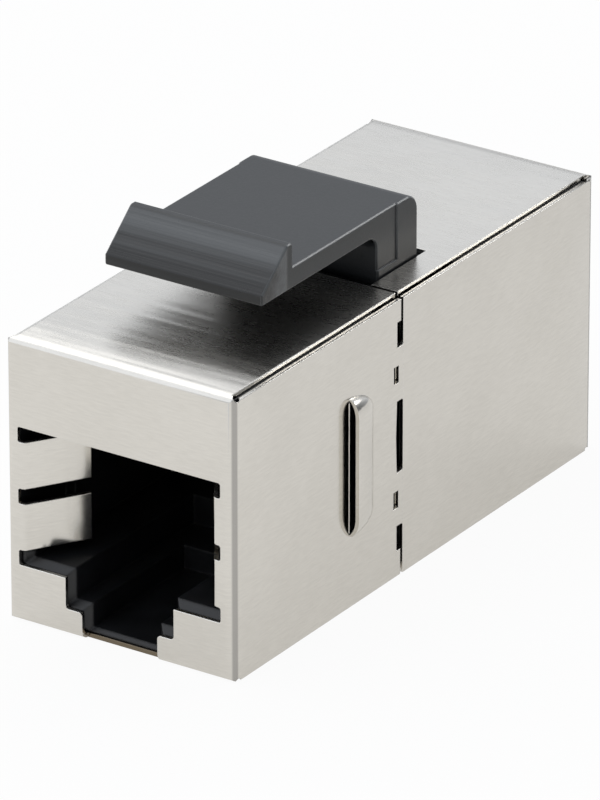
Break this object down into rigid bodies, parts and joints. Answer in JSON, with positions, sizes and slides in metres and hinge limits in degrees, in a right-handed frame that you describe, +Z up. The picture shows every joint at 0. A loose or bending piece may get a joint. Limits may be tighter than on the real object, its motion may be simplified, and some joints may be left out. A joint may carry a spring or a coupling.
{
  "type": "rj45 inline coupler",
  "caption": "Shielded inline coupler with a modular socket at each end, a stamped plated shield round the jacks and a moulded keystone latch on top.",
  "frame": {"origin": "middle of the underside, halfway along the coupler", "axes": "+Z up towards the latch, +Y along the coupler from the front socket to the rear one, +X across it"},
  "size_m": [0.0158, 0.0358, 0.0216],
  "materials": {
    "nickel_shell": "satin nickel plate over stamped sheet, with a fine rolled grain",
    "charcoal_plastic": "charcoal moulded plastic with a fine satin texture",
    "black_plastic": "black moulded plastic, slightly glossy",
    "carrier_plastic": "black moulded plastic",
    "board": "green solder resist over glass-fibre board",
    "gold_contact": "gold plate over spring bronze"
  },
  "bodies": {
    "root": {"front_shell": "nickel_shell", "rear_shell": "nickel_shell", "front_housing": "black_plastic", "rear_housing": "black_plastic", "keystone_latch": "charcoal_plastic", "circuit_board": "board", "front_contact_carrier": "carrier_plastic", "rear_contact_carrier": "carrier_plastic", "front_contact_1": "gold_contact", "rear_contact_1": "gold_contact", "front_contact_2": "gold_contact", "rear_contact_2": "gold_contact", "front_contact_3": "gold_contact", "rear_contact_3": "gold_contact", "front_contact_4": "gold_contact", "rear_contact_4": "gold_contact", "front_contact_5": "gold_contact", "rear_contact_5": "gold_contact", "front_contact_6": "gold_contact", "rear_contact_6": "gold_contact", "front_contact_7": "gold_contact", "rear_contact_7": "gold_contact", "front_contact_8": "gold_contact", "rear_contact_8": "gold_contact"}
  },
  "joints": []
}
